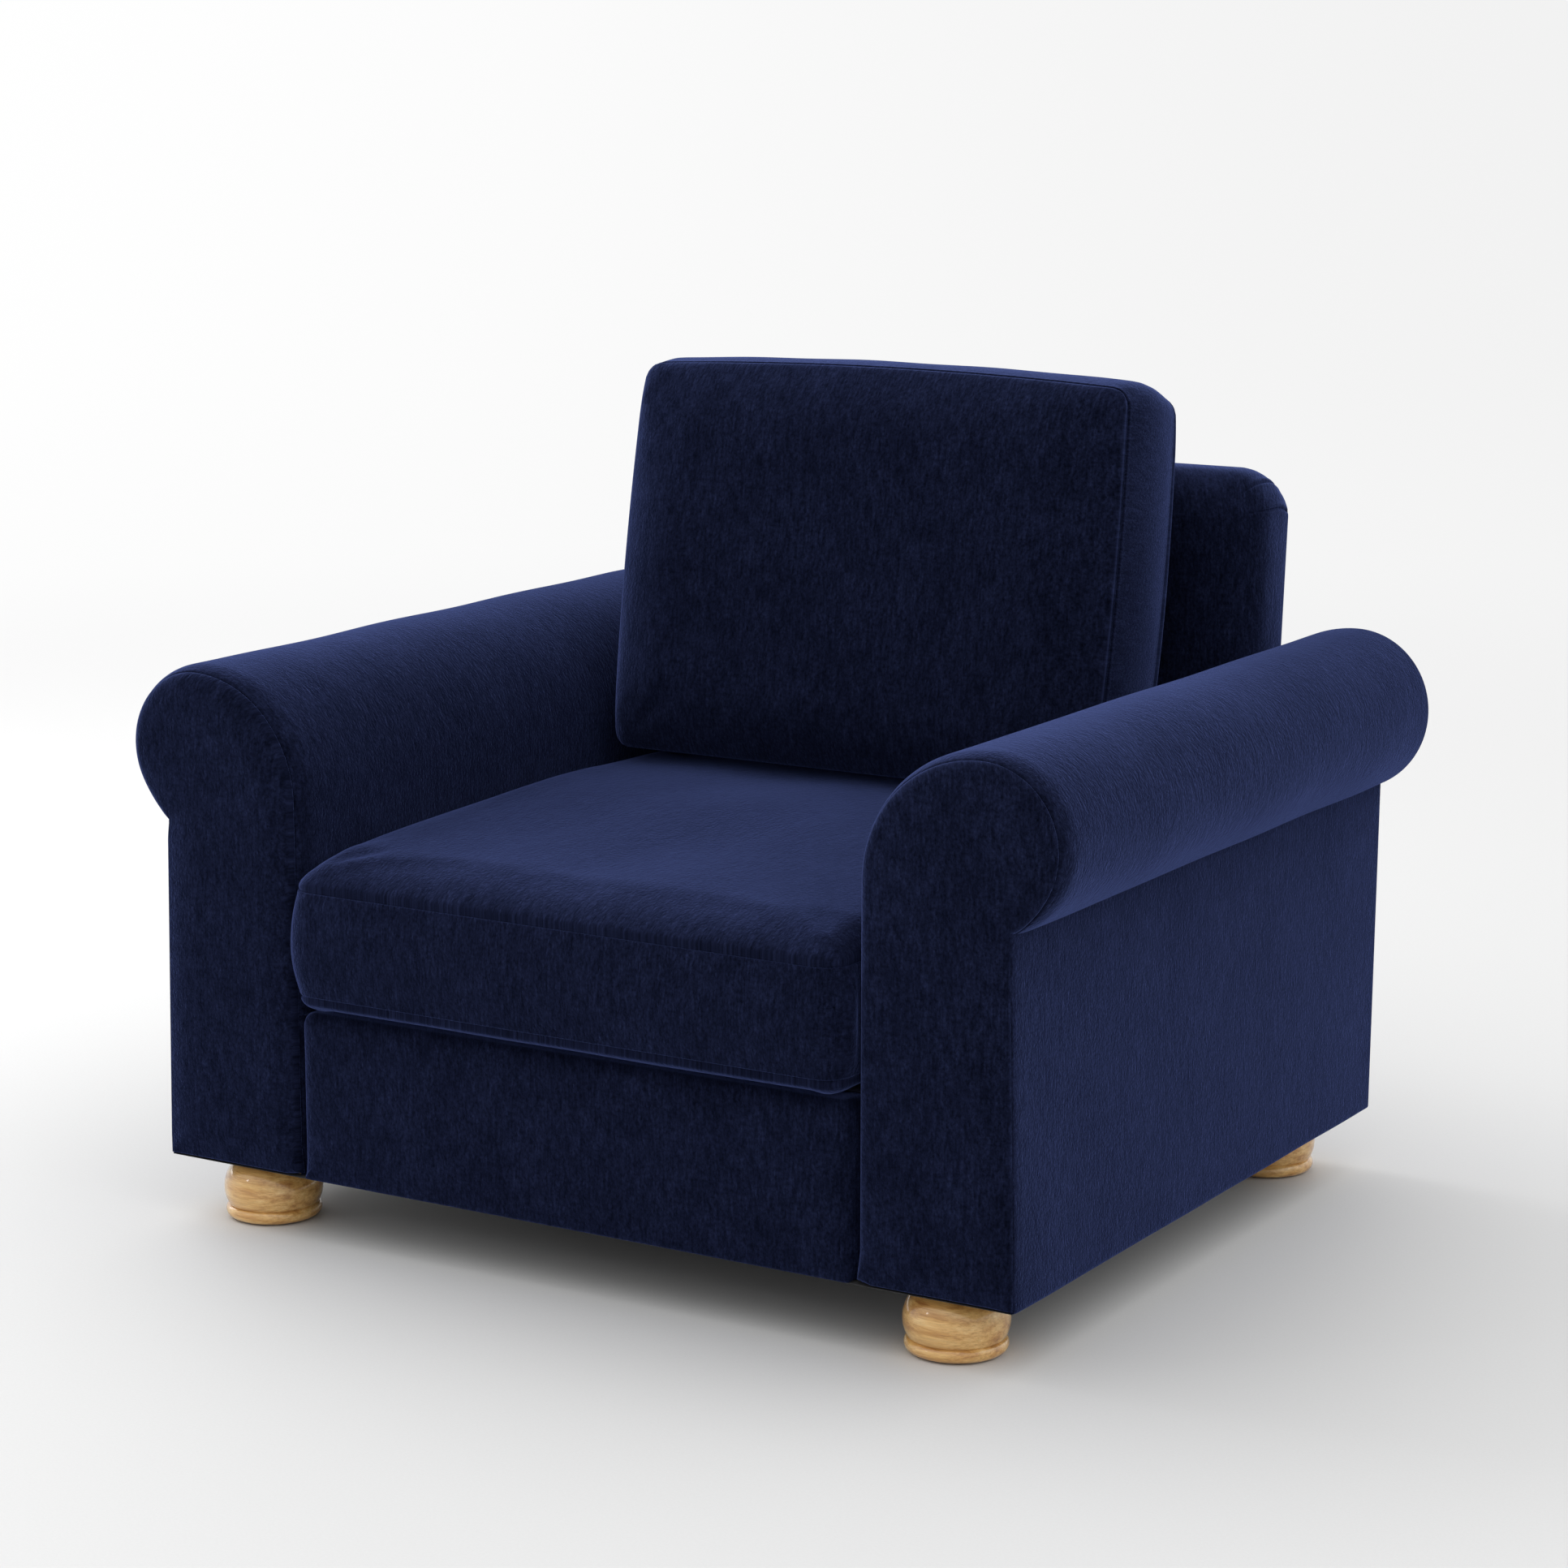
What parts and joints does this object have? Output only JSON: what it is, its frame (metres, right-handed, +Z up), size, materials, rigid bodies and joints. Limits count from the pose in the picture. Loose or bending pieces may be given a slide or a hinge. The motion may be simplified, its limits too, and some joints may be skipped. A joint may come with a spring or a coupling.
{
  "type": "upholstered armchair",
  "caption": "Low roll-arm armchair in dark velvet with a boxed loose seat cushion, a loose back cushion and turned wooden bun feet.",
  "frame": {"origin": "on the floor, under the middle of the chair", "axes": "+Z up, -Y the way the sitter faces, +X to the sitter's left"},
  "size_m": [1.1016, 0.9067, 0.8827],
  "materials": {
    "velvet": "matte",
    "foam": "matte",
    "timber": "matte",
    "oak": "gloss",
    "nylon": "matte",
    "zinc_steel": "satin",
    "spring_steel": "satin",
    "webbing": "matte",
    "deck_cloth": "matte",
    "dust_cloth": "matte",
    "zip_tape": "matte",
    "zip_metal": "satin"
  },
  "bodies": {
    "chair": {"arm_front_pads": "foam", "arm_inner_panels": "timber", "back_mid_rail": "timber", "back_rest_cover": "velvet", "back_rest_pad": "foam", "back_top_rail": "timber", "back_webbing": "webbing", "centre_stretcher": "timber", "corner_blocks": "timber", "deck_cloth": "deck_cloth", "dust_cover": "dust_cloth", "foot_bolts": "zinc_steel", "foot_front_left": "oak", "foot_front_right": "oak", "foot_glides": "nylon", "foot_rear_left": "oak", "foot_rear_right": "oak", "foot_tee_nuts": "zinc_steel", "frame_screws": "zinc_steel", "front_rail": "timber", "front_rail_cover": "velvet", "front_rail_pad": "foam", "left_arm_base_board": "timber", "left_arm_cover": "velvet", "left_arm_front_board": "timber", "left_arm_front_cover": "velvet", "left_arm_outer_panel": "timber", "left_arm_outside_cover": "velvet", "left_arm_rear_board": "timber", "left_arm_roll_pad": "foam", "left_arm_top_rail": "timber", "left_back_post": "timber", "left_inside_arm_pad": "foam", "left_side_rail": "timber", "outside_back_cover": "velvet", "rear_rail": "timber", "right_arm_base_board": "timber", "right_arm_cover": "velvet", "right_arm_front_board": "timber", "right_arm_front_cover": "velvet", "right_arm_outer_panel": "timber", "right_arm_outside_cover": "velvet", "right_arm_rear_board": "timber", "right_arm_roll_pad": "foam", "right_arm_top_rail": "timber", "right_back_post": "timber", "right_inside_arm_pad": "foam", "right_side_rail": "timber", "seat_deck_pad": "foam", "seat_springs": "spring_steel", "spring_clips": "spring_steel"},
    "seat_cushion": {"seat_cushion_cover": "velvet", "seat_cushion_core": "foam", "seat_cushion_zip": "zip_tape"},
    "back_cushion": {"back_cushion_cover": "velvet", "back_cushion_core": "foam", "back_cushion_zip": "zip_tape"},
    "seat_zip": {"seat_zip_slider": "zip_metal"},
    "back_zip": {"back_zip_slider": "zip_metal"}
  },
  "joints": [
    {"name": "seat_cushion_slide", "type": "slide", "parent": "chair", "child": "seat_cushion", "axis": [0, -1, 0], "range_m": [0, 0.8]},
    {"name": "back_cushion_lift", "type": "slide", "parent": "chair", "child": "back_cushion", "axis": [0, 0.0748, 0.9972], "range_m": [0, 0.42]},
    {"name": "seat_zip_slide", "type": "slide", "parent": "seat_cushion", "child": "seat_zip", "axis": [-1, 0, 0], "range_m": [0, 0.46]},
    {"name": "back_zip_slide", "type": "slide", "parent": "back_cushion", "child": "back_zip", "axis": [-1, 0, 0], "range_m": [0, 0.46]}
  ]
}
